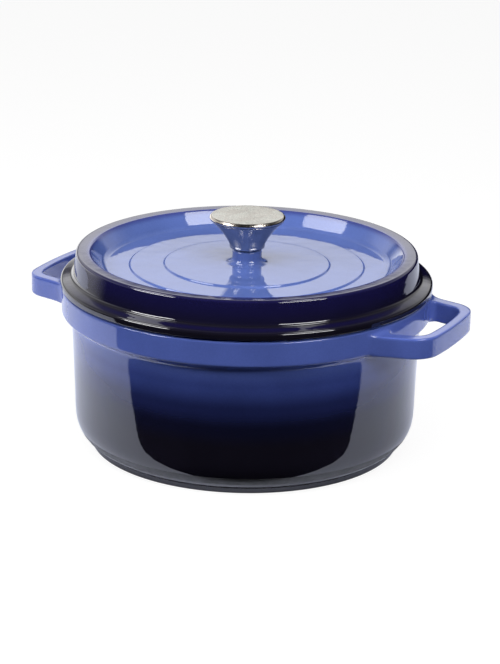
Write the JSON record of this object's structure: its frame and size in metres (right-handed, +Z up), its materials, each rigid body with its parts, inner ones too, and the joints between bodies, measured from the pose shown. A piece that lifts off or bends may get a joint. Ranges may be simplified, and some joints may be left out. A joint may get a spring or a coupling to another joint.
{
  "type": "lidded cooking pot",
  "caption": "Round enamelled cast-iron casserole with cast loop handles, a stepped lift-off lid and a flared steel knob.",
  "frame": {"origin": "on the table, under the centre of the pot", "axes": "+X through the right handle, +Z up the pot's axis towards the knob, +Y to the back with the right handle on the right"},
  "size_m": [0.3204, 0.2636, 0.1663],
  "materials": {
    "pot_enamel": "gloss enamel, light blue at the rim to near black at the base",
    "lid_enamel": "gloss enamel, light blue dish and dark navy edge",
    "knob_steel": "satin with a polished rim",
    "fastener_steel": "bright zinc",
    "gasket_rubber": "matt"
  },
  "bodies": {
    "pot": {"pot_body": "pot_enamel", "left_handle": "pot_enamel", "right_handle": "pot_enamel"},
    "lid_assembly": {"lid": "lid_enamel", "knob_shell": "knob_steel", "knob_cap": "knob_steel", "knob_insert": "fastener_steel", "knob_gasket": "gasket_rubber", "knob_screw": "fastener_steel", "flat_washer": "fastener_steel", "lock_washer": "fastener_steel"}
  },
  "joints": [
    {"name": "lid_lift", "type": "slide", "parent": "pot", "child": "lid_assembly", "axis": [0, 0, 1], "range_m": [0, 0.15]}
  ]
}
